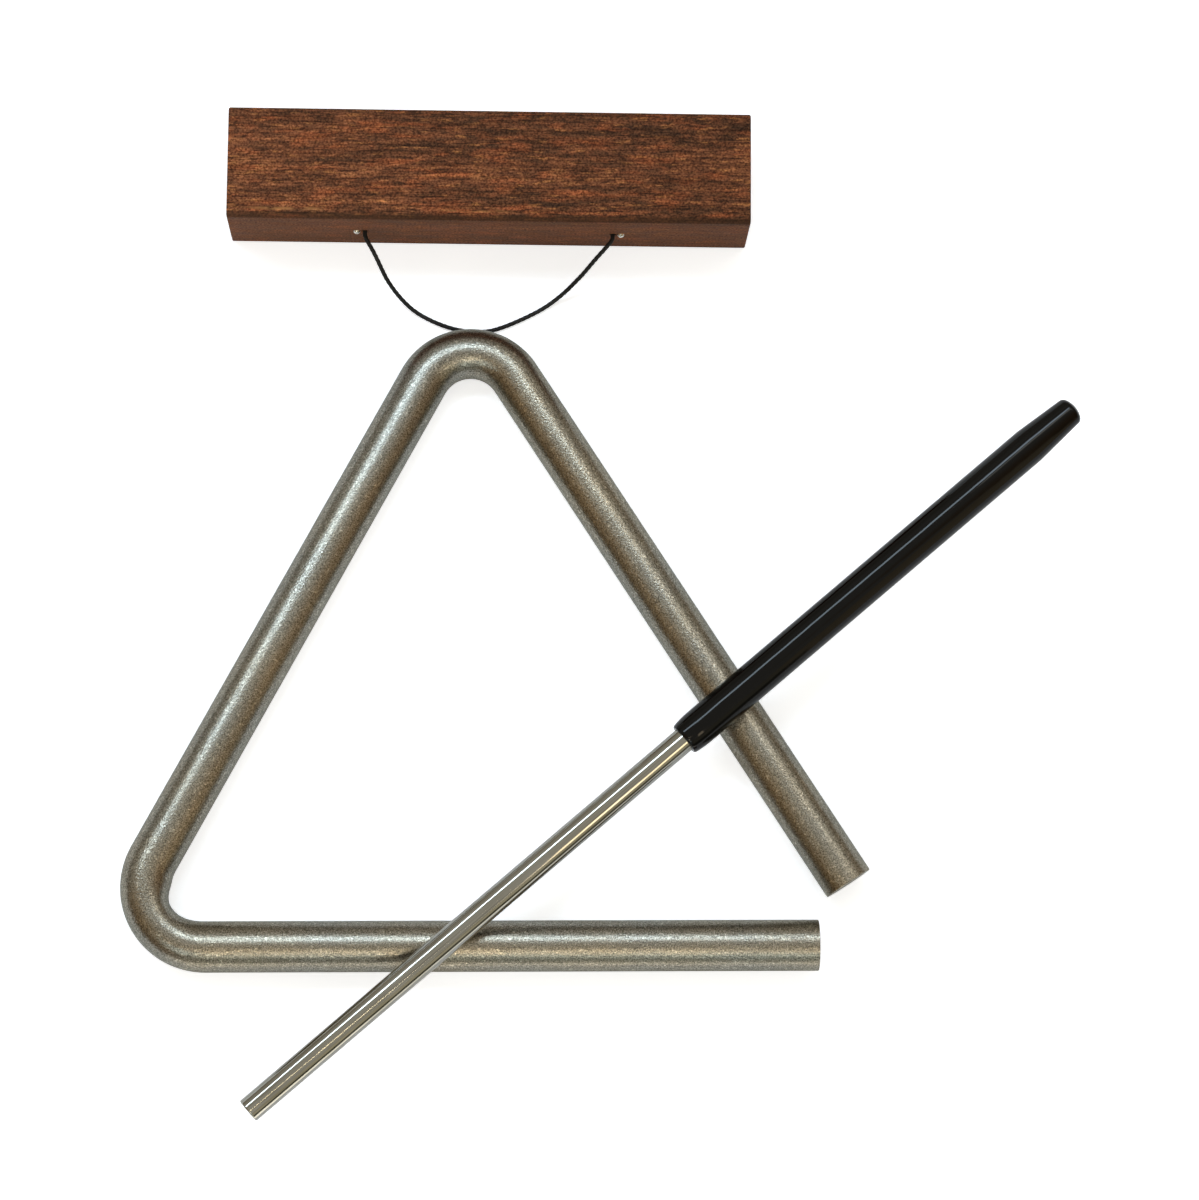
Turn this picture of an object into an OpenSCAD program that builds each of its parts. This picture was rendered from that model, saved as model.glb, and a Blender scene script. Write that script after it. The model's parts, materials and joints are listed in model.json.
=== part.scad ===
// Hand-held triangle set, laid out flat: a wooden holder with a thin cord loop, an open steel
// triangle lying in the loop's reach, and a steel beater with a soft grip across it.
// Origin: centre of the holder's back face, which lies on the table. X runs along the holder,
// Y from the triangle towards the holder, Z up.

/* [Holder] */
// Length of the wooden holder
holder_l = 98.6; // [80:0.1:130]
// Width of the holder, from the face with the cord to the far face
holder_w = 21.4; // [16:0.1:30]
// Thickness of the holder, a planed board
holder_t = 19.05; // [14:0.05:26]
// Radius of the holder's eased long edges
holder_edge_r = 1; // [0.3:0.1:3]
// Radius of the edges round the holder's sawn ends
holder_end_r = 0.3; // [0.1:0.1:0.9]

/* [Cord and pins] */
// Diameter of the cord
cord_d = 0.85; // [0.7:0.05:0.95]
// Distance between the two cord holes
cord_hole_spacing = 47.2; // [40:0.1:60]
// Diameter of a cord hole
cord_hole_d = 1.3; // [1.2:0.05:1.8]
// Depth of a cord hole
cord_hole_depth = 8; // [5:0.5:14]
// Distance from a cord hole to the brad that holds the cord in it
pin_offset = 1.5; // [1.5:0.1:4]
// Diameter of a brad's shank
pin_d = 0.9; // [0.6:0.1:1.2]
// Length of a brad's shank under its head
pin_l = 9; // [5:0.5:14]
// Diameter of a brad's domed head
pin_head_d = 1.4; // [1.2:0.1:1.6]
// Height of a brad's domed head
pin_head_h = 0.6; // [0.2:0.1:0.7]

/* [Triangle] */
// Diameter of the triangle's rod
rod_d = 9.525; // [7:0.025:12]
// Left side, between the centreline's sharp corners
side_l = 139.7; // [110:0.1:180]
// Free right leg, from the top corner's sharp point to its cut end
right_l = 131.8; // [100:0.1:132.5]
// Free bottom leg, from the lower corner's sharp point to its cut end
foot_l = 132.7; // [110:0.1:133.5]
// Angle inside the top corner
apex_angle = 61.5; // [60:0.1:63]
// Angle inside the lower corner
corner_angle = 61.2; // [60:0.1:63]
// Radius inside the bend at the top corner
apex_inside_r = 5.4; // [4:0.1:12]
// Radius inside the bend at the lower corner
corner_inside_r = 6.4; // [4:0.1:12]
// Radius of the pin that the lower bend was pressed round
press_pin_r = 5; // [3.5:0.1:6]
// Depth to which that pin marked the inside of the lower bend
press_d = 1; // [0.2:0.1:1.5]
// Direction of the mark, as a turn from the start of the lower bend
press_at = 56; // [50:1:68]
// Width of the broken edge at each cut end of the rod
rod_chamfer = 0.15; // [0.1:0.05:1]

/* [Beater] */
// Length of the whole beater
beater_l = 202.3; // [180:0.1:230]
// Diameter of the beater's shaft
shaft_d = 4.7625; // [4:0.0125:5.5]
// Width of the broken edge at the shaft's tip
shaft_chamfer = 0.3; // [0.1:0.05:0.8]
// Length of the grip
grip_l = 97.2; // [80:0.1:105]
// Diameter of the grip along its length
grip_d = 7; // [6.6:0.1:9]
// Diameter of the grip at its mouth
grip_mouth_d = 6.3; // [5.8:0.1:6.4]
// Radius of the rounded lip at the grip's mouth
grip_lip_r = 0.4; // [0.1:0.05:0.45]
// Length over which the mouth swells to the full diameter
grip_shoulder_l = 3.8; // [2:0.1:8]
// Diameter of the grip where its end starts to round
grip_end_d = 5.6; // [5.4:0.1:6.4]
// Radius of the dome that closes the grip
grip_dome_r = 4.5; // [3.6:0.1:6]
// Radius that rounds the side of the grip into the dome
grip_corner_r = 1.1; // [0.6:0.1:1.6]
// Length over which the grip narrows towards its end
grip_taper_l = 10; // [6:0.5:24]
// Thickness of the grip beyond the shaft's hidden end
grip_cap_t = 4.6; // [3.6:0.1:12]

/* [Layout] */
// Gap between the holder and the top of the triangle
hang_gap = 17.8; // [17.6:0.1:30]
// Sideways place of the top corner's bend
hang_x = -3.1; // [-6:0.1:0]
// Lean of the triangle's left side against the holder
side_lean = 61.9; // [60:0.1:64]
// Place of the beater on the bottom leg, from the lower corner's sharp point
beater_on_foot = 63.4; // [60:0.1:68]
// Turn of the beater against the holder
beater_turn = 41; // [40:0.1:43]
// Length of the shaft beyond the bottom leg's centreline, to its tip
beater_overhang = 47.2; // [40:0.1:55]
// Gap left between the beater and the rod that carries it
rest_gap = 0.15; // [0.05:0.05:0.4]

/* [Hidden] */
$fn = 64;

// Overrun of a cut past the face it starts from
cut = 0.5;
// How far a straight run of the rod reaches into a bend, and how far under the bend's skin it lies
lap = 0.1;
lap_step = 0.002;

// Holder and cord holes
cord_face_y = -holder_w/2;
hole_z = holder_t/2;
hole_x = cord_hole_spacing/2;
pin_x = hole_x + pin_offset;
pin_point_l = pin_d;

// Rod
rod_r = rod_d/2;
apex_r = apex_inside_r + rod_r;
corner_r = corner_inside_r + rod_r;
apex_turn = 180 - apex_angle;
corner_turn = 180 - corner_angle;
apex_run = apex_r/tan(apex_angle/2);
corner_run = corner_r/tan(corner_angle/2);

// Directions of the three legs, walked from the cut end of the right leg to that of the foot
right_normal = side_lean + apex_angle - 90;
side_dir = 180 + side_lean;
right_dir = right_normal - 90;
foot_dir = side_lean - corner_angle;
function along(a, l) = l*[cos(a), sin(a)];
function cross2(a, b) = a[0]*b[1] - a[1]*b[0];

// Centre of the top bend, where the triangle rocks, and the sharp corners of the centreline
hang_c = [hang_x, cord_face_y - hang_gap - rod_r - apex_r];
apex_pt = hang_c + along(right_normal + apex_turn/2, apex_r/sin(apex_angle/2));
corner_pt = apex_pt + along(side_dir, side_l);

// Beater: over the foot on its shaft and over the right leg on its grip
shaft_r = shaft_d/2;
grip_r = grip_d/2;
grip_start = beater_l - grip_l;
foot_cross = corner_pt + along(foot_dir, beater_on_foot);
cross_run = cross2(apex_pt - foot_cross, along(right_dir, 1))
          / cross2(along(beater_turn, 1), along(right_dir, 1));
foot_cross_z = rod_d + shaft_r + rest_gap;
beater_tilt = atan((grip_r - shaft_r)/cross_run);

// Route of the cord from its left hole to its right one, by hand
route = [
    [-23.6, -11.2, 9.5], [-23.4, -12, 9.4], [-22.9, -12.9, 9.2], [-22.3, -13.8, 8.8],
    [-21.7, -14.8, 8.3], [-21, -16.1, 7.5], [-20.3, -17.4, 6.5], [-19.5, -18.8, 5.3],
    [-18.5, -20.1, 4.1], [-17.3, -21.4, 2.8], [-15.8, -22.8, 1.6], [-14.1, -24.1, 0.8],
    [-12.2, -25.4, 0.5], [-10.1, -26.6, 0.5], [-8, -27.7, 0.5], [-5.8, -28.8, 0.5],
    [-2.8, -29.4, 0.5], [0.2, -28.8, 0.5], [2.5, -27.8, 0.5], [4.9, -26.5, 0.5],
    [7.2, -25.2, 0.5], [9.5, -23.9, 0.5], [11.6, -22.5, 0.7], [13.6, -21.1, 1.5],
    [15.3, -19.8, 2.7], [16.7, -18.6, 4], [17.9, -17.6, 5.2], [19.1, -16.4, 6.5],
    [20.2, -15.3, 7.6], [21.1, -14.4, 8.4], [22, -13.5, 8.9], [22.8, -12.6, 9.3],
    [23.4, -11.9, 9.4], [23.6, -11.2, 9.5]];
cord_sides = 8;

// Colours, as the photograph shows them
wood_tone = [0.36, 0.19, 0.13];
cord_tone = [0.06, 0.06, 0.06];
pin_tone = [0.62, 0.6, 0.56];
rod_tone = [0.55, 0.52, 0.47];
shaft_tone = [0.78, 0.77, 0.75];
grip_tone = [0.05, 0.05, 0.06];

// Profile with rounded corners, made from two squares and four circles
module eased_rectangle(w, h, r) {
    square([w - 2*r, h], center = true);
    square([w, h - 2*r], center = true);
    for (x = [-1, 1], y = [-1, 1]) translate([x*(w/2 - r), y*(h/2 - r)]) circle(r = r);
}

// A brad's shank and point, from its head into the wood
module pin_shank() {
    rotate([-90, 0, 0]) {
        cylinder(h = pin_l - pin_point_l, r = pin_d/2);
        translate([0, 0, pin_l - pin_point_l]) cylinder(h = pin_point_l, r1 = pin_d/2, r2 = pin_d/8);
    }
}

// A brad's head: the cap of a ball that is pin_head_h high and pin_head_d wide
module pin_head() {
    ball_r = (pow(pin_head_d/2, 2) + pow(pin_head_h, 2))/(2*pin_head_h);
    intersection() {
        translate([0, ball_r - pin_head_h, 0]) sphere(r = ball_r);
        rotate([90, 0, 0]) cylinder(h = pin_head_h, r = pin_head_d/2);
    }
}

// The planed bar: its long edges eased by a plane, the edges round its sawn ends only by sandpaper
module bar() {
    intersection() {
        translate([0, 0, holder_t/2]) rotate([90, 0, 90])
            linear_extrude(height = holder_l + 2*cut, center = true)
                eased_rectangle(holder_w, holder_t, holder_edge_r);
        translate([0, 0, holder_t/2]) rotate([90, 0, 0])
            linear_extrude(height = holder_w + 2*cut, center = true)
                eased_rectangle(holder_l, holder_t, holder_end_r);
        translate([0, 0, -cut]) linear_extrude(height = holder_t + 2*cut)
            eased_rectangle(holder_l, holder_w, holder_end_r);
    }
}

module holder_block() {
    color(wood_tone) difference() {
        bar();
        for (side = [-1, 1]) {
            translate([side*hole_x, cord_face_y - cut, hole_z]) rotate([-90, 0, 0])
                cylinder(h = cord_hole_depth + cut, r = cord_hole_d/2);
            translate([side*pin_x, cord_face_y, hole_z]) pin_shank();
        }
    }
}

module cord_pin(side) {
    color(pin_tone) translate([side*pin_x, cord_face_y, hole_z]) {
        pin_shank();
        pin_head();
    }
}

// The end of the cord inside its hole, from the hole's bottom to the holder's face
module cord_end(side) {
    color(cord_tone) translate([side*hole_x, cord_face_y, hole_z]) rotate([-90, 0, 0])
        cylinder(h = cord_hole_depth, r = cord_d/2);
}

// Direction of the route at one of its points, and two directions square to it
function heading(i) =
    let (last = len(route) - 1, d = route[min(i + 1, last)] - route[max(i - 1, 0)]) d/norm(d);
function side_of(d) = let (s = cross(d, [0, 0, 1])) s/norm(s);
function ring(i) =
    let (d = i == 0 || i == len(route) - 1 ? [0, i == 0 ? -1 : 1, 0] : heading(i),
         u = side_of(d), v = cross(d, u))
    [for (k = [0:cord_sides - 1])
        route[i] + cord_d/2*(cos(360*k/cord_sides)*u + sin(360*k/cord_sides)*v)];

module cord_loop() {
    n = len(route);
    points = [for (i = [0:n - 1]) each ring(i)];
    walls = [for (i = [0:n - 2], k = [0:cord_sides - 1])
        let (a = i*cord_sides + k, b = i*cord_sides + (k + 1)%cord_sides)
        each [[a, b, b + cord_sides], [a, b + cord_sides, a + cord_sides]]];
    caps = [[for (k = [cord_sides - 1:-1:0]) k],
            [for (k = [0:cord_sides - 1]) (n - 1)*cord_sides + k]];
    color(cord_tone) polyhedron(points = points, faces = concat(walls, caps));
}

// A bend of the rod about the origin, from the X axis through the given turn
module bend(inside_r, turn) {
    rotate_extrude(angle = turn) translate([inside_r + rod_r, 0]) circle(r = rod_r);
}

// A straight run of the rod along +Y between two bends
module run(l) {
    translate([0, -lap, 0]) rotate([-90, 0, 0]) cylinder(h = l + 2*lap, r = rod_r - lap_step);
}

// A free leg along +Y, with the edge of its cut end broken
module free_leg(l) {
    translate([0, -lap, 0]) rotate([-90, 0, 0]) {
        cylinder(h = l + lap - rod_chamfer, r = rod_r - lap_step);
        translate([0, 0, l + lap - rod_chamfer])
            cylinder(h = rod_chamfer, r1 = rod_r - lap_step, r2 = rod_r - lap_step - rod_chamfer);
    }
}

// What the bending pin took from the inside of a bend about the origin: the rod was bent further
// round the pin than its own curve, which left an upright hollow in the bend's inner side
module pin_mark(inside_r) {
    rotate([0, 0, press_at]) translate([inside_r + press_d - press_pin_r, 0, -rod_r - cut])
        cylinder(h = rod_d + 2*cut, r = press_pin_r);
}

// The rod, walked from the cut end of the right leg over both bends to the cut end of the foot
module triangle_rod() {
    side_run = side_l - apex_run - corner_run;
    color(rod_tone) translate([hang_c[0], hang_c[1], rod_r]) rotate([0, 0, right_normal]) {
        translate([apex_r, 0, 0]) rotate([0, 0, 180]) free_leg(right_l - apex_run);
        bend(apex_inside_r, apex_turn);
        rotate([0, 0, apex_turn]) translate([apex_r, 0, 0]) {
            run(side_run);
            translate([-corner_r, side_run, 0]) {
                difference() {
                    bend(corner_inside_r, corner_turn);
                    pin_mark(corner_inside_r);
                }
                rotate([0, 0, corner_turn]) translate([corner_r, 0, 0]) free_leg(foot_l - corner_run);
            }
        }
    }
}

// Places the beater, whose own axis runs along +Z from its tip
module on_triangle() {
    translate([foot_cross[0], foot_cross[1], foot_cross_z]) rotate([0, 90 - beater_tilt, beater_turn])
        translate([0, 0, -beater_overhang]) children();
}

module beater_shaft() {
    color(shaft_tone) on_triangle() {
        cylinder(h = shaft_chamfer, r1 = shaft_r - shaft_chamfer, r2 = shaft_r);
        translate([0, 0, shaft_chamfer])
            cylinder(h = beater_l - grip_cap_t - shaft_chamfer, r = shaft_r);
    }
}

// Half section of the grip, radius along X and length along Y: a rounded lip that runs into a
// shoulder arc, a straight sleeve, a slight taper and a domed end with a rounded corner
module grip_section() {
    grip_end_r = grip_end_d/2;
    shoulder_drop = (grip_d - grip_mouth_d)/2;
    shoulder_r = (pow(grip_shoulder_l, 2) + pow(shoulder_drop, 2))/(2*shoulder_drop);
    corner_x = grip_end_r - grip_corner_r;
    corner_rise = sqrt(pow(grip_dome_r - grip_corner_r, 2) - pow(corner_x, 2));
    dome_y = grip_l - grip_dome_r;
    corner_y = dome_y + corner_rise;
    taper_start = corner_y - grip_taper_l;
    wedge = grip_dome_r/corner_rise;
    inner_r = shoulder_r - grip_lip_r;
    rise = grip_shoulder_l - grip_lip_r;
    lip_x = grip_r - shoulder_r + sqrt(pow(inner_r, 2) - pow(rise, 2));
    arc_start = grip_lip_r*(1 - rise/inner_r);
    square([lip_x, grip_shoulder_l]);
    translate([lip_x, grip_lip_r]) circle(r = grip_lip_r);
    intersection() {
        translate([grip_r - shoulder_r, grip_shoulder_l]) circle(r = shoulder_r, $fn = 360);
        translate([0, arc_start]) square([grip_r, grip_shoulder_l - arc_start]);
    }
    translate([0, grip_shoulder_l]) square([grip_r, taper_start - grip_shoulder_l]);
    polygon([[0, taper_start], [grip_r, taper_start], [grip_end_r, corner_y], [0, corner_y]]);
    translate([corner_x, corner_y]) circle(r = grip_corner_r);
    intersection() {
        translate([0, dome_y]) circle(r = grip_dome_r, $fn = 180);
        translate([0, dome_y])
            polygon([[0, 0], [corner_x*wedge, corner_rise*wedge], [0, corner_rise*wedge]]);
    }
}

module beater_grip() {
    color(grip_tone) on_triangle() translate([0, 0, grip_start]) difference() {
        rotate_extrude() grip_section();
        translate([0, 0, -cut]) cylinder(h = grip_l - grip_cap_t + cut, r = shaft_r);
    }
}

holder_block();
cord_pin(-1);  // cord_pin_left
cord_pin(1);  // cord_pin_right
cord_end(-1);  // cord_end_left
cord_end(1);  // cord_end_right
cord_loop();
triangle_rod();
beater_shaft();
beater_grip();
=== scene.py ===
import json
import math

import bmesh
import bpy
from mathutils import Matrix, Vector


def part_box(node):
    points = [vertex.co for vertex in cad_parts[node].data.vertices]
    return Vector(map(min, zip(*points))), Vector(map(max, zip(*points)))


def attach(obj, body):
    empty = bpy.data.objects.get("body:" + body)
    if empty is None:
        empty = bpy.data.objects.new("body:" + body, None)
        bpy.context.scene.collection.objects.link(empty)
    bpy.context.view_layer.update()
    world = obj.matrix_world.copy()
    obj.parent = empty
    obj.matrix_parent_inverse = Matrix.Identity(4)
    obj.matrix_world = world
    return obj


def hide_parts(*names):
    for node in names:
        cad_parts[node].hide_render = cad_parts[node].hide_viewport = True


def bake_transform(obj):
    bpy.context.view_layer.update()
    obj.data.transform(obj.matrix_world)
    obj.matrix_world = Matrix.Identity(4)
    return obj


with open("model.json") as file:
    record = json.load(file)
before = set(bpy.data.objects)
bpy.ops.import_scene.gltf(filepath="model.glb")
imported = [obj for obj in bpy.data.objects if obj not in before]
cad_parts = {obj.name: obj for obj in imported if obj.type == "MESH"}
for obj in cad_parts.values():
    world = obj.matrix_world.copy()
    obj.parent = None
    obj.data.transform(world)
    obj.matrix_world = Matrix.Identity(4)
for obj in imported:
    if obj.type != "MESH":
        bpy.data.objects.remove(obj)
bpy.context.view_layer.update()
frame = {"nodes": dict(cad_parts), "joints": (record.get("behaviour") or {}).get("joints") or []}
print("frame loaded:", len(frame["nodes"]), "nodes")

scene = bpy.context.scene
scene.view_settings.view_transform = "Standard"
mm = 0.001
weldDistance = 0.001 * mm
joints = {joint["name"]: joint for joint in frame["joints"]}

# camera, where the photograph was taken from
photoCamera = {
    "place": (0.0024, -0.2086, 0.7516),
    "tilt": 9.7164,   # forward, about X
    "roll": -1.5685,  # about Y
    "spin": 0.6681,   # about Z
    "lens": 120.6,    # mm on a 36 mm sensor
    "clip": (0.01, 20),
}


def makeCamera(look):
    data = bpy.data.cameras.new("photoCamera")
    data.lens = look["lens"]
    data.clip_start, data.clip_end = look["clip"]
    camera = bpy.data.objects.new("photoCamera", data)
    spin = Matrix.Rotation(math.radians(look["spin"]), 3, "Z")
    tilt = Matrix.Rotation(math.radians(look["tilt"]), 3, "X")
    roll = Matrix.Rotation(math.radians(look["roll"]), 3, "Y")
    camera.location = look["place"]
    camera.rotation_euler = (spin @ tilt @ roll).to_euler()
    scene.collection.objects.link(camera)
    scene.camera = camera


makeCamera(photoCamera)
print("camera placed")


# meshes

def addPiece(name, bm, smoothAngle=40):
    bmesh.ops.remove_doubles(bm, verts=bm.verts, dist=weldDistance)
    bmesh.ops.recalc_face_normals(bm, faces=bm.faces)
    mesh = bpy.data.meshes.new(name)
    bm.to_mesh(mesh)
    bm.free()
    mesh.shade_smooth()
    mesh.set_sharp_from_angle(angle=math.radians(smoothAngle))
    piece = bpy.data.objects.new(name, mesh)
    scene.collection.objects.link(piece)
    return piece


def turnPiece(name, profile, place, sides, smoothAngle=40):
    # a profile of (radius, height) points, spun round Z and then set in its place
    bm = bmesh.new()
    verts = [bm.verts.new((radius, 0, height)) for radius, height in profile]
    edges = [bm.edges.new(pair) for pair in zip(verts, verts[1:])]
    bmesh.ops.spin(bm, geom=verts + edges, cent=(0, 0, 0), axis=(0, 0, 1), dvec=(0, 0, 0),
                   angle=math.tau, steps=sides, use_merge=True)
    bmesh.ops.transform(bm, matrix=place, verts=bm.verts)
    return addPiece(name, bm, smoothAngle)


def meshOf(piece):
    # its mesh as drawn, with a curve or a modifier turned into faces
    bpy.context.view_layer.update()
    depsgraph = bpy.context.evaluated_depsgraph_get()
    return bpy.data.meshes.new_from_object(piece.evaluated_get(depsgraph))


def arcPoints(centre, radius, start, end, steps):
    angles = [math.radians(start + (end - start) * i / steps) for i in range(steps + 1)]
    return [(centre[0] + radius * math.cos(a), centre[1] + radius * math.sin(a)) for a in angles]


def along(degrees, length):
    angle = math.radians(degrees)
    return Vector((math.cos(angle), math.sin(angle), 0)) * length


# node helpers

def newMaterial(name):
    material = bpy.data.materials.new(name)
    material.use_nodes = True
    tree = material.node_tree
    return material, tree, tree.nodes["Principled BSDF"]


def setInputs(tree, node, inputs):
    # links the values that are sockets and writes the others
    for name, value in inputs.items():
        if isinstance(value, bpy.types.NodeSocket):
            tree.links.new(value, node.inputs[name])
        else:
            node.inputs[name].default_value = value


def addNode(tree, kind, inputs=None, **settings):
    made = tree.nodes.new("ShaderNode" + kind)
    for name, value in settings.items():
        setattr(made, name, value)
    setInputs(tree, made, inputs or {})
    return made


def objectCoords(tree, scale=(1, 1, 1), turn=0):
    # turned about Z first and then scaled, so that a pattern can run along a slanting piece
    coords = addNode(tree, "TexCoord").outputs["Object"]
    turned = addNode(tree, "Mapping", {"Vector": coords, "Rotation": (0, 0, math.radians(turn))})
    scaled = addNode(tree, "Mapping", {"Vector": turned.outputs["Vector"], "Scale": scale})
    return scaled.outputs["Vector"]


def noiseOf(tree, vector, scale=1, detail=3, roughness=0.5, distortion=0):
    noise = addNode(tree, "TexNoise", {"Vector": vector, "Scale": scale, "Detail": detail,
                                       "Roughness": roughness, "Distortion": distortion})
    return noise.outputs["Fac"]


def rangeOf(tree, value, low, high, newLow=0, newHigh=1):
    mapped = addNode(tree, "MapRange", {"Value": value, "From Min": low, "From Max": high,
                                        "To Min": newLow, "To Max": newHigh})
    return mapped.outputs["Result"]


def mathOf(tree, operation, first, second=0.0):
    return addNode(tree, "Math", {0: first, 1: second}, operation=operation).outputs[0]


def mixOf(tree, factor, first, second, blendType="MIX"):
    mixed = addNode(tree, "Mix", {0: factor, 6: first, 7: second}, data_type="RGBA",
                    blend_type=blendType)
    return mixed.outputs[2]


def shadeOf(tree, colour, value, *limits):
    # the colour made darker or lighter by a value that is brought into its limits
    return mixOf(tree, 1.0, colour, rangeOf(tree, value, *limits), "MULTIPLY")


def rampOf(tree, value, stops):
    ramp = addNode(tree, "ValToRGB", {"Fac": value})
    elements = ramp.color_ramp.elements
    while len(elements) < len(stops):
        elements.new(1)
    for element, (position, colour) in zip(elements, stops):
        element.position = position
        element.color = colour
    return ramp.outputs["Color"]


def bumpOf(tree, height, distance, strength=1, before=None):
    inputs = {"Height": height, "Distance": distance, "Strength": strength}
    if before is not None:
        inputs["Normal"] = before
    return addNode(tree, "Bump", inputs).outputs["Normal"]


def rgb(red, green, blue):
    return (red, green, blue, 1)


# cord: one thin twisted cord, from its hole round the top bend to the other hole
cordLook = {
    "diameter": 0.85 * mm,
    "holeDepth": 7.5 * mm,
    "strands": 3,
    "twistPitch": 3.2 * mm,
    "strandDip": 0.14,        # of the radius
    "longestStep": 5 * mm,    # a longer one is the jump between the two end caps
    "sides": 36,
    "blacks": (rgb(0.003, 0.003, 0.003), rgb(0.012, 0.011, 0.01)),
    "wornTone": rgb(0.03, 0.027, 0.024),
    "shine": 0.25,
    "roughness": (0.36, 0.6),
    "fibreDepth": 0.02 * mm,
    "route": [  # mm, within 1.3 mm of the cord solid
        (-23.6, -11.2, 9.5), (-23.4, -12, 9.4), (-22.9, -12.9, 9.2), (-22.3, -13.8, 8.8),
        (-21.7, -14.8, 8.3), (-21, -16.1, 7.5), (-20.3, -17.4, 6.5), (-19.5, -18.8, 5.3),
        (-18.5, -20.1, 4.1), (-17.3, -21.4, 2.8), (-15.8, -22.8, 1.6), (-14.1, -24.1, 0.8),
        (-12.2, -25.2, 0.5), (-10.1, -26.2, 0.5), (-8, -27, 0.5), (-5.8, -27.6, 0.5),
        (-2.8, -28, 0.5), (0.2, -27.8, 0.5), (2.5, -27.1, 0.5), (4.9, -26.1, 0.5),
        (7.2, -25, 0.5), (9.5, -23.8, 0.5), (11.6, -22.5, 0.7), (13.6, -21.1, 1.5),
        (15.3, -19.8, 2.7), (16.7, -18.6, 4), (17.9, -17.6, 5.2), (19.1, -16.4, 6.5),
        (20.2, -15.3, 7.6), (21.1, -14.4, 8.4), (22, -13.5, 8.9), (22.8, -12.6, 9.3),
        (23.4, -11.9, 9.4), (23.6, -11.2, 9.5)],
}


def cordMaterial(look):
    material, tree, shader = newMaterial("waxedCord")
    coords = objectCoords(tree)
    fibre = noiseOf(tree, coords, scale=9000, detail=2)
    worn = noiseOf(tree, coords, scale=400, detail=2)
    tone = mixOf(tree, fibre, *look["blacks"])
    tone = mixOf(tree, rangeOf(tree, worn, 0.5, 0.8, 0, 0.4), tone, look["wornTone"])
    setInputs(tree, shader, {
        "Base Color": tone,
        "Specular IOR Level": look["shine"],
        "Roughness": rangeOf(tree, fibre, 0.3, 0.7, *look["roughness"]),
        "Normal": bumpOf(tree, fibre, look["fibreDepth"], 0.5)})
    return material


def twistStrands(mesh, look):
    # draws each ring of the tube in between the strands, further round from ring to ring
    sides, travelled, last = look["sides"], 0, None
    for start in range(0, len(mesh.vertices), sides):
        ring = mesh.vertices[start:start + sides]
        centre = sum((vert.co for vert in ring), Vector()) / sides
        step = (centre - last).length if last else 0
        travelled += step if step < look["longestStep"] else 0
        last = centre
        for count, vert in enumerate(ring):
            turn = math.tau * (count / sides + travelled / look["twistPitch"])
            dip = look["strandDip"] * (1 - abs(math.cos(turn * look["strands"] / 2)))
            vert.co = centre + (vert.co - centre) * (1 - dip)


def drawCord(path, look):
    # a round tube along the path
    curve = bpy.data.curves.new("cord", "CURVE")
    curve.dimensions = "3D"
    spline = curve.splines.new("NURBS")
    spline.points.add(len(path) - 1)
    for point, place in zip(spline.points, path):
        point.co = (*place, 1)
    spline.order_u = 3
    spline.use_endpoint_u = True
    spline.resolution_u = 12
    curve.bevel_depth = look["diameter"] / 2
    curve.bevel_resolution = (look["sides"] - 4) // 2
    curve.use_fill_caps = True
    drawn = bpy.data.objects.new("cordLine", curve)
    scene.collection.objects.link(drawn)
    mesh = meshOf(drawn)
    bpy.data.objects.remove(drawn)
    return mesh


def makeCord(look):
    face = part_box("holder_block")[0].y
    route = [Vector(point) * mm for point in look["route"]]
    inward = [Vector((point.x, face + look["holeDepth"], point.z))
              for point in (route[0], route[-1])]
    path = [inward[0], *route, inward[1]]
    mesh = drawCord(path, look)
    cord = bpy.data.objects.new("cord", mesh)
    scene.collection.objects.link(cord)
    twistStrands(mesh, look)
    mesh.shade_smooth()
    mesh.materials.clear()
    mesh.materials.append(cordMaterial(look))
    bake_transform(cord)
    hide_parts("cord_loop", "cord_end_left", "cord_end_right")


makeCord(cordLook)
print("cord made")

# triangle: one blasted steel rod, bent twice and left open
rodLook = {
    "rightLeg": 131.8 * mm,   # from the top corner's sharp point
    "side": 139.7 * mm,
    "foot": 132.7 * mm,       # from the lower corner's sharp point
    "topAngle": 61.5,
    "cornerAngle": 61.2,
    "sideLean": 61.9,
    "topInside": 5.4 * mm,
    "cornerInside": 6.4 * mm,
    "brokenEdge": 0.08 * mm,
    "pressDepth": 1.0 * mm,   # what the bending pin pressed out of the lower bend
    "pressAt": 208,           # degrees round the lower bend's centre
    "pressSpan": (38, 64),    # towards the side and towards the foot
    "pressWithin": 1.01,      # of the rod's radius, so that its skin is in
    "sides": 96,
    "bendSteps": 48,
    "greys": (rgb(0.255, 0.245, 0.213), rgb(0.28, 0.252, 0.2)),
    "edgeTint": rgb(0.7, 0.72, 0.7),
    "roughness": (0.28, 0.31),
    "grainDepth": 0.045 * mm,
}


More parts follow.
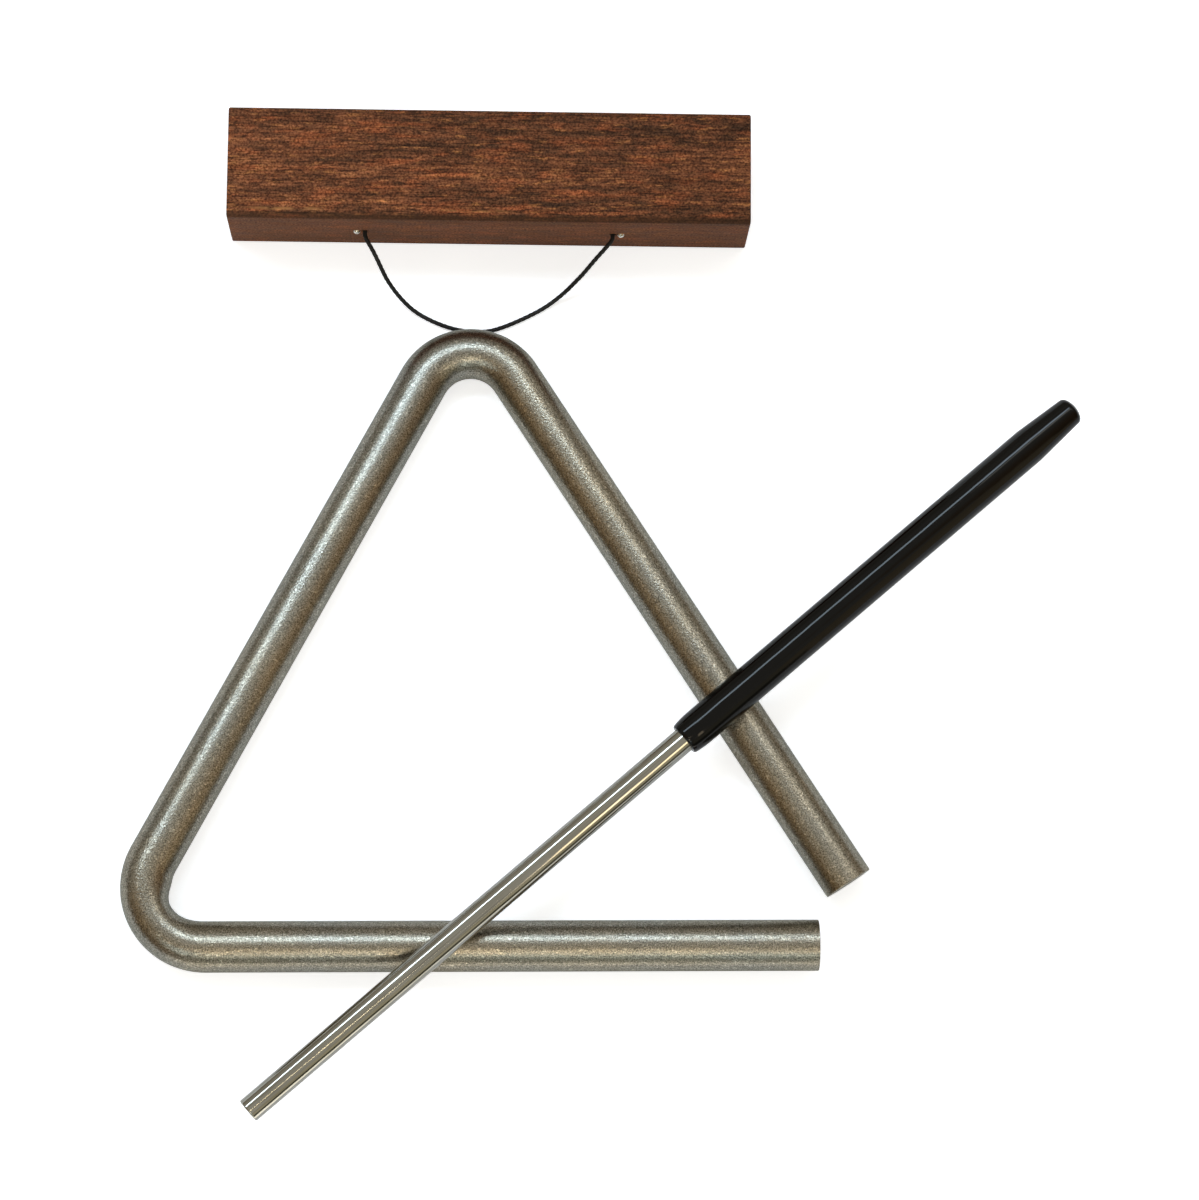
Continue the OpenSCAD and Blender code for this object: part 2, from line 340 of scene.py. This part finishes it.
class Walk:
    # a ring of edges that is pushed along the rod's centreline
    def __init__(self, start, heading, radius, sides):
        self.bm = bmesh.new()
        self.place, self.heading = start, heading
        turn = Matrix.Translation(start) @ Matrix.Rotation(math.radians(heading), 4, "Z")
        turn = turn @ Matrix.Rotation(math.radians(90), 4, "Y")
        made = bmesh.ops.create_circle(self.bm, segments=sides, radius=radius, matrix=turn)
        self.edges = list({edge for vert in made["verts"] for edge in vert.link_edges})

    def push(self, length, scale=1):
        made = bmesh.ops.extrude_edge_only(self.bm, edges=self.edges)["geom"]
        verts = [item for item in made if isinstance(item, bmesh.types.BMVert)]
        self.edges = [item for item in made if isinstance(item, bmesh.types.BMEdge)
                      and all(vert in verts for vert in item.verts)]
        self.place = self.place + along(self.heading, length)
        bmesh.ops.translate(self.bm, verts=verts, vec=along(self.heading, length))
        bmesh.ops.scale(self.bm, verts=verts, vec=(scale,) * 3,
                        space=Matrix.Translation(-self.place))

    def bend(self, radius, degrees, steps):
        centre = self.place + along(self.heading + 90, radius)
        made = bmesh.ops.spin(self.bm, geom=self.edges, cent=centre, axis=(0, 0, 1),
                              dvec=(0, 0, 0), angle=math.radians(degrees), steps=steps)
        self.edges = [item for item in made["geom_last"] if isinstance(item, bmesh.types.BMEdge)]
        self.heading += degrees
        self.place = centre + along(self.heading - 90, radius)
        return centre

    def close(self):
        bmesh.ops.edgeloop_fill(self.bm, edges=self.edges)


def pressBend(bm, centre, radius, rodRadius, look):
    # flattens the inside of a bend, where the pin pressed it
    for vert in bm.verts:
        arm = Vector((vert.co.x - centre.x, vert.co.y - centre.y, 0))
        angle = math.degrees(math.atan2(arm.y, arm.x)) % 360
        past = angle - look["pressAt"]
        off = abs(past) / look["pressSpan"][past > 0]
        inner = (radius - arm.length) / rodRadius
        if off < 1 and 0 < inner < look["pressWithin"]:
            depth = look["pressDepth"] * (1 + math.cos(math.pi * off)) / 2 * inner ** 2
            vert.co += arm.normalized() * depth


def rodMaterial(look):
    material, tree, shader = newMaterial("blastedSteel")
    coords = objectCoords(tree)
    cloud = noiseOf(tree, coords, scale=45, detail=3)
    grain = noiseOf(tree, coords, scale=3600, detail=0)
    speck = noiseOf(tree, coords, scale=4200, detail=1)
    glint = noiseOf(tree, coords, scale=2300, detail=0)
    tone = mixOf(tree, rangeOf(tree, cloud, 0.35, 0.65), *look["greys"])
    tone = shadeOf(tree, tone, speck, 0.3, 0.7, 0.4, 1.6)
    # painted glints: sparse spots of brighter reflectance
    tone = shadeOf(tree, tone, glint, 0.63, 0.78, 1, 1.7)
    setInputs(tree, shader, {
        "Base Color": tone,
        "Metallic": 1,
        "Specular Tint": look["edgeTint"],
        "Roughness": rangeOf(tree, grain, 0.3, 0.7, *look["roughness"]),
        "Normal": bumpOf(tree, grain, look["grainDepth"], 0.8)})
    return material


def makeRod(look):
    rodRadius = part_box("triangle_rod")[1].z / 2
    topRadius, cornerRadius = look["topInside"] + rodRadius, look["cornerInside"] + rodRadius
    topRun = topRadius / math.tan(math.radians(look["topAngle"] / 2))
    cornerRun = cornerRadius / math.tan(math.radians(look["cornerAngle"] / 2))
    hang = Vector(joints["triangle_rock"]["pos_m"])
    hang.z = rodRadius
    rightNormal = look["sideLean"] + look["topAngle"] - 90
    legLength = look["rightLeg"] - topRun
    start = hang + along(rightNormal, topRadius) + along(rightNormal - 90, legLength)
    edge = look["brokenEdge"]
    small = (rodRadius - edge) / rodRadius
    walk = Walk(start, rightNormal + 90, rodRadius - edge, look["sides"])
    walk.close()
    walk.push(edge, 1 / small)
    walk.push(legLength - edge)
    walk.bend(topRadius, 180 - look["topAngle"], look["bendSteps"])
    walk.push(look["side"] - topRun - cornerRun)
    centre = walk.bend(cornerRadius, 180 - look["cornerAngle"], look["bendSteps"])
    walk.push(look["foot"] - cornerRun - edge)
    walk.push(edge, small)
    walk.close()
    pressBend(walk.bm, centre, cornerRadius, rodRadius, look)
    rod = addPiece("triangle_steel_rod", walk.bm)
    rod.data.materials.append(rodMaterial(look))
    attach(rod, "triangle")
    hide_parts("triangle_rod")
    corner = hang + along(rightNormal + (180 - look["topAngle"]) / 2,
                          topRadius / math.sin(math.radians(look["topAngle"] / 2)))
    return {"top": corner, "rightHeading": rightNormal - 90, "radius": rodRadius,
            "corner": corner + along(180 + look["sideLean"], look["side"]),
            "footHeading": look["sideLean"] - look["cornerAngle"]}


rod = makeRod(rodLook)
print("triangle made")

# beater: a polished steel shaft in a dipped vinyl grip
beaterLook = {
    "length": 202.3 * mm,
    "shaftRadius": 4.7625 * mm / 2,
    "shaftSides": 64,
    "tipEdge": 0.3 * mm,
    "gripLength": 97.2 * mm,
    "gripRadius": 3.5 * mm,
    "gripSides": 96,
    "mouthRadius": 3.15 * mm,
    "boreDepth": 2 * mm,      # as far as it is drawn
    "boreEase": (0.2 * mm, 0.25 * mm),  # out and in
    "lip": 0.3 * mm,
    "shoulder": 3.8 * mm,
    "shoulderFrom": 0.85,     # of its arc, the rest is the lip
    "endRadius": 2.8 * mm,
    "domeRadius": 4.5 * mm,
    "cornerRadius": 1.1 * mm,
    "taper": 10 * mm,
    "capThickness": 4.6 * mm,
    "alongFoot": 63.4 * mm,
    "turn": 41,
    "overhang": 47.2 * mm,
    "restGap": 0.15 * mm,
    "greys": (rgb(0.38, 0.375, 0.345), rgb(0.33, 0.32, 0.28)),
    "scoreTone": rgb(0.12, 0.105, 0.07),
    "streakTone": rgb(0.5, 0.47, 0.38),
    "polish": (0.05, 0.13),
    "streakDepth": 0.012 * mm,
    "blacks": (rgb(0.0005, 0.0006, 0.0008), rgb(0.0015, 0.0013, 0.001)),
    "gripShine": 0.22,
    "gripGloss": (0.04, 0.1),
    "waveDepth": 0.12 * mm,
}


def beaterPlace(look, rod):
    # the beater's own axis runs along Z from its tip
    cross = rod["corner"] + along(rod["footHeading"], look["alongFoot"])
    ahead, leg = along(look["turn"], 1), along(rod["rightHeading"], 1)
    reach = rod["top"] - cross
    run = (reach.x * leg.y - reach.y * leg.x) / (ahead.x * leg.y - ahead.y * leg.x)
    tilt = math.atan((look["gripRadius"] - look["shaftRadius"]) / run)
    cross.z = 2 * rod["radius"] + look["shaftRadius"] + look["restGap"]
    place = Matrix.Translation(cross) @ Matrix.Rotation(math.radians(look["turn"]), 4, "Z")
    place = place @ Matrix.Rotation(math.pi / 2 - tilt, 4, "Y")
    return place @ Matrix.Translation((0, 0, -look["overhang"]))


def shaftMaterial(look):
    # the streaks and scores run along the shaft
    material, tree, shader = newMaterial("polishedSteel")
    streaks = noiseOf(tree, objectCoords(tree, (12, 2600, 2600), -look["turn"]), detail=3)
    scores = noiseOf(tree, objectCoords(tree, (7, 3600, 3600), -look["turn"]), detail=1)
    cloud = noiseOf(tree, objectCoords(tree), scale=120, detail=2)
    tone = mixOf(tree, rangeOf(tree, cloud, 0.35, 0.65), *look["greys"])
    tone = mixOf(tree, rangeOf(tree, scores, 0.52, 0.66, 0, 0.3), tone, look["scoreTone"])
    tone = mixOf(tree, rangeOf(tree, streaks, 0.56, 0.72, 0, 0.25), tone, look["streakTone"])
    setInputs(tree, shader, {
        "Base Color": tone,
        "Metallic": 1,
        "Roughness": rangeOf(tree, streaks, 0.3, 0.7, *look["polish"]),
        "Normal": bumpOf(tree, streaks, look["streakDepth"], 0.5)})
    return material


def gripMaterial(look):
    material, tree, shader = newMaterial("dippedVinyl")
    coords = objectCoords(tree)
    waves = noiseOf(tree, coords, scale=140, detail=1)
    film = noiseOf(tree, coords, scale=700, detail=2)
    setInputs(tree, shader, {
        "Base Color": mixOf(tree, film, *look["blacks"]),
        "Specular IOR Level": look["gripShine"],
        "Roughness": rangeOf(tree, film, 0.3, 0.7, *look["gripGloss"]),
        "Normal": bumpOf(tree, waves, look["waveDepth"], 0.6)})
    return material


def shaftProfile(look):
    radius, edge = look["shaftRadius"], look["tipEdge"]
    shaftEnd = look["length"] - look["capThickness"]
    return [(0, 0), *arcPoints((radius - edge, edge), edge, -90, 0, 6), (radius, shaftEnd),
            (0, shaftEnd)]


def gripProfile(look):
    # bore, lip, shoulder arc, straight sleeve, taper, rounded corner and domed end
    start = look["length"] - look["gripLength"]
    full, mouth = look["gripRadius"], look["mouthRadius"]
    bore, lip, shoulder = look["shaftRadius"], look["lip"], look["shoulder"]
    easeOut, easeIn = look["boreEase"]
    drop = full - mouth
    swell = (shoulder ** 2 + drop ** 2) / (2 * drop)
    first = math.degrees(math.asin(shoulder / swell))
    corner = look["cornerRadius"]
    cornerX = look["endRadius"] - corner
    rise = math.sqrt((look["domeRadius"] - corner) ** 2 - cornerX ** 2)
    domeBase = look["length"] - look["domeRadius"]
    turnAt = math.degrees(math.atan2(rise, cornerX))
    profile = [(bore, start + look["boreDepth"]), (bore, start + easeIn), (bore + easeOut, start)]
    profile += arcPoints((mouth - lip, start + lip), lip, -90, -20, 5)
    profile += arcPoints((full - swell, start + shoulder), swell, -first * look["shoulderFrom"],
                         0, 16)
    profile += [(full, domeBase + rise - look["taper"])]
    profile += arcPoints((cornerX, domeBase + rise), corner, 0, turnAt, 12)
    profile += arcPoints((0, domeBase), look["domeRadius"], turnAt, 90, 20)[1:]
    return profile


def makeBeater(look, rod):
    place = beaterPlace(look, rod)
    shaft = turnPiece("beater_steel_shaft", shaftProfile(look), place, look["shaftSides"],
                      smoothAngle=50)
    shaft.data.materials.append(shaftMaterial(look))
    grip = turnPiece("beater_vinyl_grip", gripProfile(look), place, look["gripSides"],
                     smoothAngle=60)
    grip.data.materials.append(gripMaterial(look))
    for piece, node, slot in ((shaft, "beater_shaft", "polished_steel"),
                              (grip, "beater_grip", "black_vinyl")):
        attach(piece, "beater")
        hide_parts(node)


makeBeater(beaterLook, rod)
print("beater made")

# holder: a planed block of figured hardwood with two cord holes and two brads
holderLook = {
    "longEdge": 1 * mm,
    "longEdgeSteps": 6,
    "endEdge": 0.3 * mm,
    "endEdgeSteps": 3,
    "holeRadius": 0.65 * mm,
    "holeDepth": 8 * mm,
    "holeSpacing": 47.2 * mm,
    "drillStart": -1 * mm,
    "bradOffset": 1.5 * mm,
    "bradRadius": 0.7 * mm,
    "bradHeight": 0.6 * mm,
    "shankRadius": 0.45 * mm,
    "shankTop": -0.05 * mm,
    "shankEnd": -2 * mm,      # as far as it is drawn
    "boreSides": 48,
    "grains": {  # scale along X, Y and Z, detail, roughness, distortion, turn about Z
        "bands": ((14, 160, 120), 2, 0.5, 0.4, 0),
        "figure": ((200, 1000, 800), 4, 0.7, 0.2, 0),
        "fleck": ((260, 1500, 1200), 2, 0.5, 0, 0.8),
        "ember": ((130, 620, 500), 3, 0.6, 0, 0),
        "lines": ((70, 2400, 1900), 2, 0.6, 0, 0),
        "pores": ((300, 3600, 2800), 1, 0.5, 0, 0),
        "speckle": ((2400, 2800, 2400), 1, 0.5, 0, 0),
    },
    "browns": [
        (0.0, rgb(0.055, 0.026, 0.014)), (0.35, rgb(0.1, 0.04, 0.019)),
        (0.6, rgb(0.15, 0.054, 0.025)), (0.8, rgb(0.21, 0.076, 0.032)),
        (1.0, rgb(0.3, 0.118, 0.047))],
    "ember": rgb(0.34, 0.09, 0.032),
    "fleck": rgb(0.4, 0.155, 0.05),
    "pore": rgb(0.018, 0.01, 0.006),
    # painted shade on the eased upper edge
    "planed": rgb(0.13, 0.056, 0.029),
    "arrisShade": rgb(0.045, 0.022, 0.012),
    # painted highlight with wear, for the light spots behind the upper edge
    "worn": rgb(0.42, 0.19, 0.07),
    "ends": (1.12, 0.86),     # painted light, lighter at the left end and darker at the right end
    "highlightAndWearSpots": ((-38 * mm, 0.65), (-3 * mm, 0.35)),  # place along the edge, strength
    "highlightAndWearReach": (4 * mm, 9 * mm),
    "shine": 0.05,
    "roughness": (0.5, 0.68),
    "poreDepth": 0.05 * mm,
    "lineDepth": 0.04 * mm,
    "bradTones": (rgb(0.8, 0.77, 0.7), rgb(0.3, 0.26, 0.2)),
    "bradRoughness": (0.1, 0.25),
}


def woodMaterial(low, high, look):
    # figure, golden flecks, dark lines and pores run along the bar, with painted shade on the
    # upper edge and, by the cord, painted highlight with wear behind it
    material, tree, shader = newMaterial("figuredHardwood")
    grain = {name: noiseOf(tree, objectCoords(tree, scale, turn), 1, detail, roughness, distortion)
             for name, (scale, detail, roughness, distortion, turn) in look["grains"].items()}
    mixed = mathOf(tree, "ADD", mathOf(tree, "MULTIPLY", grain["bands"], 0.4),
                   mathOf(tree, "MULTIPLY", grain["figure"], 0.6))
    tone = rampOf(tree, rangeOf(tree, mixed, 0.36, 0.64), look["browns"])
    tone = mixOf(tree, rangeOf(tree, grain["ember"], 0.52, 0.7, 0, 0.6), tone, look["ember"])
    tone = mixOf(tree, rangeOf(tree, grain["fleck"], 0.6, 0.72, 0, 0.6), tone, look["fleck"])
    tone = shadeOf(tree, tone, grain["lines"], 0.45, 0.7, 1.15, 0.5)
    tone = shadeOf(tree, tone, grain["speckle"], 0.32, 0.68, 0.4, 1.6)
    pores = rangeOf(tree, grain["pores"], 0.6, 0.68)
    tone = mixOf(tree, mathOf(tree, "MULTIPLY", pores, 0.7), tone, look["pore"])

    # the planed front face is plainer
    place = addNode(tree, "SeparateXYZ", {"Vector": objectCoords(tree)})
    inFromFace = mathOf(tree, "SUBTRACT", place.outputs["Y"], low.y)
    below = mathOf(tree, "SUBTRACT", high.z, place.outputs["Z"])
    planed = rangeOf(tree, inFromFace, 0.1 * mm, 0.4 * mm, 0.6, 0)
    plain = shadeOf(tree, look["planed"], grain["speckle"], 0.3, 0.7, 0.5, 1.5)
    tone = mixOf(tree, planed, tone, plain)

    # its upper edge has painted shade, and just behind it the light spots are painted highlight
    # with wear
    arrisShade = rangeOf(tree, mathOf(tree, "ADD", inFromFace, below), 0.7 * mm, 1.3 * mm, 0.65, 0)
    worn = mathOf(tree, "MULTIPLY", rangeOf(tree, inFromFace, 1.3 * mm, 1.5 * mm),
                  rangeOf(tree, inFromFace, 1.8 * mm, 2.1 * mm, 1, 0))
    worn = mathOf(tree, "MULTIPLY", worn, rangeOf(tree, below, 0, 0.4 * mm, 1, 0))
    spots = []
    for spot, strength in look["highlightAndWearSpots"]:
        away = mathOf(tree, "ABSOLUTE", mathOf(tree, "SUBTRACT", place.outputs["X"], spot))
        spots.append(rangeOf(tree, away, *look["highlightAndWearReach"], strength, 0))
    worn = mathOf(tree, "MULTIPLY", worn, mathOf(tree, "MAXIMUM", *spots))
    worn = mathOf(tree, "MULTIPLY", worn, rangeOf(tree, grain["fleck"], 0.4, 0.55))
    tone = mixOf(tree, arrisShade, tone, look["arrisShade"])
    # painted light across the block, lighter at the left end and darker at the right
    tone = shadeOf(tree, tone, place.outputs["X"], low.x, high.x, *look["ends"])
    tone = mixOf(tree, worn, tone, look["worn"])

    dents = bumpOf(tree, mathOf(tree, "SUBTRACT", 1.0, pores), look["poreDepth"], 0.5)
    setInputs(tree, shader, {
        "Base Color": tone,
        "Specular IOR Level": look["shine"],
        "Roughness": rangeOf(tree, grain["figure"], 0.3, 0.7, *look["roughness"]),
        "Normal": bumpOf(tree, grain["lines"], look["lineDepth"], 0.4, dents)})
    return material


def bradMaterial(look):
    material, tree, shader = newMaterial("bradSteel")
    wear = noiseOf(tree, objectCoords(tree), scale=2500, detail=2)
    tone = mixOf(tree, rangeOf(tree, wear, 0.4, 0.7), *look["bradTones"])
    setInputs(tree, shader, {
        "Base Color": tone,
        "Metallic": 1,
        "Roughness": rangeOf(tree, wear, 0.3, 0.7, *look["bradRoughness"])})
    return material


def makeBlock(low, high, look):
    size, near = high - low, 0.01 * mm
    bm = bmesh.new()
    bmesh.ops.create_cube(bm, size=1)
    bmesh.ops.scale(bm, verts=bm.verts, vec=size)
    bmesh.ops.translate(bm, verts=bm.verts, vec=(high + low) / 2)
    longEdges = [edge for edge in bm.edges
                 if abs(edge.verts[0].co.x - edge.verts[1].co.x) > size.x / 2]
    bmesh.ops.bevel(bm, geom=longEdges, offset=look["longEdge"], offset_type="OFFSET",
                    affect="EDGES", segments=look["longEdgeSteps"], profile=0.5, material=-1)
    endEdges = [edge for edge in bm.edges
                if all(abs(abs(vert.co.x) - size.x / 2) < near for vert in edge.verts)]
    bmesh.ops.bevel(bm, geom=endEdges, offset=look["endEdge"], offset_type="OFFSET",
                    affect="EDGES", segments=look["endEdgeSteps"], profile=0.5, material=-1)
    return addPiece("holder_wood_block", bm, smoothAngle=30)


def drillHole(holder, mouth, look):
    # a hole straight in from the front face
    profile = [(0, look["drillStart"]), (look["holeRadius"], look["drillStart"]),
               (look["holeRadius"], look["holeDepth"]), (0, look["holeDepth"])]
    place = Matrix.Translation(mouth) @ Matrix.Rotation(-math.pi / 2, 4, "X")
    cutter = turnPiece("holeCutter", profile, place, look["boreSides"])
    drill = holder.modifiers.new("drill", "BOOLEAN")
    drill.object, drill.operation, drill.solver = cutter, "DIFFERENCE", "EXACT"
    drilled = meshOf(holder)
    holder.modifiers.clear()
    holder.data = drilled
    bpy.data.objects.remove(cutter)


def makeHolder(look):
    low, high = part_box("holder_block")
    middle = (high.z + low.z) / 2
    holder = makeBlock(low, high, look)
    for side in (-1, 1):
        drillHole(holder, (side * look["holeSpacing"] / 2, low.y, middle), look)
    # the flat faces shade as flat, and only the eased edges as round
    square = 0.9999  # how near a face's normal is to an axis
    for face in holder.data.polygons:
        if max(abs(value) for value in face.normal) > square:
            face.use_smooth = False
    holder.data.materials.clear()
    holder.data.materials.append(woodMaterial(low, high, look))
    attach(holder, "holder")
    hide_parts("holder_block")

    steel = bradMaterial(look)
    ball = (look["bradRadius"] ** 2 + look["bradHeight"] ** 2) / (2 * look["bradHeight"])
    reach = math.degrees(math.asin(look["bradRadius"] / ball))
    profile = arcPoints((0, look["bradHeight"] - ball), ball, 90, 90 - reach, 16)
    profile += [(look["shankRadius"], look["shankTop"]), (look["shankRadius"], look["shankEnd"]),
                (0, look["shankEnd"])]
    for side, name in ((-1, "left"), (1, "right")):
        across = side * (look["holeSpacing"] / 2 + look["bradOffset"])
        place = Matrix.Translation((across, low.y, middle)) @ Matrix.Rotation(math.pi / 2, 4, "X")
        brad = turnPiece("brad_" + name, profile, place, look["boreSides"],
                          smoothAngle=50)
        brad.data.materials.append(steel)
        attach(brad, "holder")
        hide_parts("cord_pin_" + name)


makeHolder(holderLook)
print("holder made")

# studio: white table, warm white ceiling, a cool window light, and walls, lamps and a bright
# sheet that only reflections show
studio = {
    "tableSize": 6,
    "tableTone": rgb(0.82, 0.84, 0.88),
    "tableRoughness": 0.9,
    "tableGlow": 0.6,
    "glowInSteel": 0.22,
    "white": rgb(1, 1, 1),
    "ceiling": rgb(0.58, 0.55, 0.48),
    "horizon": rgb(0.95, 0.94, 0.92),
    "horizonTop": 0.1,        # as the height of a ray
    "ceilingFrom": 0.45,
    "windows": {  # place, turn about X and Z, size, watts, colour, whether the steel shows it
        "window": ((-0.25, 0.31, 0.86), (-25, 10), (0.86, 0.13), 3.6, (0.68, 0.85, 1.0), True),
        "windowEast": ((0.37, 0.258, 0.86), (-20, 12), (0.44, 0.1), 0.5, (1.0, 0.97, 0.9), True),
        "fill": ((-0.6, -1.0, 0.35), (73, -31), (0.9, 0.4), 3.2, (1.0, 0.95, 0.88), False),
    },
    "cardDistance": 1.5,
    "cardStep": 0.005,        # how much nearer each card is than the one before
    # azimuth from +Y towards +X, span, lowest and highest elevation, where it fades, colour,
    # upper colour
    "cards": {
        "cardNorth": (-8, 104, 0, 40, 0.55, rgb(0.40, 0.365, 0.30)),
        "cardNorthEast": (66, 40, 0, 36, 0.5, rgb(0.28, 0.21, 0.13)),
        "cardSouthEast": (103, 34, 0, 72, 0.27, rgb(0.15, 0.09, 0.042), rgb(0.42, 0.27, 0.14)),
        "cardGold": (125.5, 11, 0, 40, 0.9, rgb(0.8, 0.64, 0.4)),
        "cardLamp": (139.5, 9, 41, 54, 1, rgb(4.6, 3.8, 2.6)),
        "cardDoor": (144.5, 27, 2, 19, 1, rgb(0.16, 0.15, 0.11)),
        "cardCream": (144.5, 27, 19, 42, 0.8, rgb(0.62, 0.56, 0.4)),
        "cardSouth": (180, 44, 2.5, 40, 0.5, rgb(0.26, 0.26, 0.21)),
        "cardSouthWest": (234, 62, 0, 74, 0.27, rgb(0.14, 0.09, 0.042), rgb(0.46, 0.32, 0.175)),
        "cardNorthWest": (284, 40, 0, 28, 0.5, rgb(0.22, 0.2, 0.16)),
        "cardSkirting": (180, 62, 0.2, 1.4, 1, rgb(4.4, 4.2, 3.5)),
        "cardPane": (172, 16, 37, 43, 1, rgb(3.4, 4.0, 4.0)),
        "cardSky": (172, 16, 18, 37, 1, rgb(0.68, 0.8, 0.78)),
        "cardPaneWest": (206, 24, 38, 48, 1, rgb(2.3, 2.9, 3.1)),
    },
    "strips": {  # place, size, colour
        "strip": ((-0.01, -0.49, 1), (0.3, 0.014), rgb(14, 12, 8)),
        "lamp": ((-0.005, -0.74, 0.86), (0.1, 0.2), rgb(13, 11, 8)),
        "lampEast": ((0.58, 0.3, 0.86), (0.16, 0.1), rgb(4.2, 4.0, 3.5)),
        "sheet": ((0.02, -0.305, 0.0003), (0.24, 0.19), rgb(2.5, 2.4, 2.15)),
    },
}


def flatGrid(size):
    bm = bmesh.new()
    bmesh.ops.create_grid(bm, x_segments=1, y_segments=1, size=size)
    return bm


def makeTable(look):
    # it glows towards the camera, and less in the steel
    table = addPiece("table", flatGrid(look["tableSize"] / 2))
    material, tree, shader = newMaterial("whiteTable")
    path = addNode(tree, "LightPath")
    inSteel = mathOf(tree, "MULTIPLY", path.outputs["Is Glossy Ray"], look["glowInSteel"])
    seen = mathOf(tree, "MAXIMUM", path.outputs["Is Camera Ray"], inSteel)
    seen = mathOf(tree, "MAXIMUM", seen, path.outputs["Is Transmission Ray"])
    setInputs(tree, shader, {
        "Base Color": look["tableTone"],
        "Roughness": look["tableRoughness"],
        "Specular IOR Level": 0,
        "Emission Color": look["white"],
        "Emission Strength": mathOf(tree, "MULTIPLY", seen, look["tableGlow"])})
    table.data.materials.append(material)


def makeWorld(look):
    # white to the camera, and a room to all else
    world = bpy.data.worlds.new("studio")
    world.use_nodes = True
    scene.world = world
    tree = world.node_tree
    ray = addNode(tree, "TexCoord").outputs["Generated"]
    height = addNode(tree, "SeparateXYZ", {"Vector": ray}).outputs["Z"]
    colour = rampOf(tree, height, [
        (0.0, look["horizon"]), (look["horizonTop"], look["horizon"]),
        (look["ceilingFrom"], look["ceiling"]), (1.0, look["ceiling"])])
    seen = addNode(tree, "LightPath").outputs["Is Camera Ray"]
    colour = mixOf(tree, seen, colour, look["white"])
    setInputs(tree, tree.nodes["Background"], {"Color": colour})


def glowOf(name, colour, top=0, fade=1, upper=None):
    # a plain glow, that can turn to another colour and fade out towards its top
    material, tree, shader = newMaterial(name)
    tree.nodes.remove(shader)
    height = addNode(tree, "SeparateXYZ", {"Vector": objectCoords(tree)}).outputs["Z"]
    if upper:
        colour = mixOf(tree, rangeOf(tree, height, 0, top * fade), colour, upper)
    shown = addNode(tree, "Emission", {"Color": colour, "Strength": 1.0}).outputs[0]
    if fade < 1:
        clear = addNode(tree, "BsdfTransparent").outputs[0]
        faded = rangeOf(tree, height, top * fade, top, 1, 0)
        shown = addNode(tree, "MixShader", {0: faded, 1: clear, 2: shown}).outputs[0]
    setInputs(tree, tree.nodes["Material Output"], {"Surface": shown})
    return material


def hideCard(card):
    # only reflections see it
    card.visible_camera = False
    card.visible_diffuse = False
    card.visible_shadow = False


def makeCard(name, distance, azimuth, span, low, high, fade, colour, upper=None):
    # an upright curved card, a part of the room round the table
    bm = bmesh.new()
    bottom, top = (distance * math.tan(math.radians(a)) for a in (low, high))
    corner = [bm.verts.new((0, distance, z)) for z in (bottom, top)]
    edge = bm.edges.new(corner)
    turn = Matrix.Rotation(math.radians(span / 2 - azimuth), 3, "Z")
    bmesh.ops.rotate(bm, verts=corner, matrix=turn)
    bmesh.ops.spin(bm, geom=corner + [edge], cent=(0, 0, 0), axis=(0, 0, 1), dvec=(0, 0, 0),
                   angle=math.radians(-span), steps=12)
    card = addPiece(name, bm)
    card.data.materials.append(glowOf(name, colour, top, fade, upper))
    hideCard(card)


def makeStrip(name, place, size, colour):
    # a lamp or bright gap overhead, or a bright sheet on the table, for the steel's highlights
    bm = flatGrid(0.5)
    bmesh.ops.scale(bm, verts=bm.verts, vec=(*size, 1))
    bmesh.ops.translate(bm, verts=bm.verts, vec=place)
    strip = addPiece(name, bm)
    strip.data.materials.append(glowOf(name, colour))
    hideCard(strip)


def makeWindow(name, place, turn, size, watts, colour, inSteel):
    data = bpy.data.lights.new(name, "AREA")
    data.shape = "RECTANGLE"
    data.size, data.size_y = size
    data.energy = watts
    data.color = colour
    lamp = bpy.data.objects.new(name, data)
    lamp.location = place
    lamp.rotation_euler = (math.radians(turn[0]), 0, math.radians(turn[1]))
    lamp.visible_camera = False
    lamp.visible_glossy = inSteel
    scene.collection.objects.link(lamp)


makeTable(studio)
makeWorld(studio)
for count, (name, card) in enumerate(studio["cards"].items()):
    makeCard(name, studio["cardDistance"] - studio["cardStep"] * count, *card)
for name, strip in studio["strips"].items():
    makeStrip(name, *strip)
for name, window in studio["windows"].items():
    makeWindow(name, *window)
print("studio made")
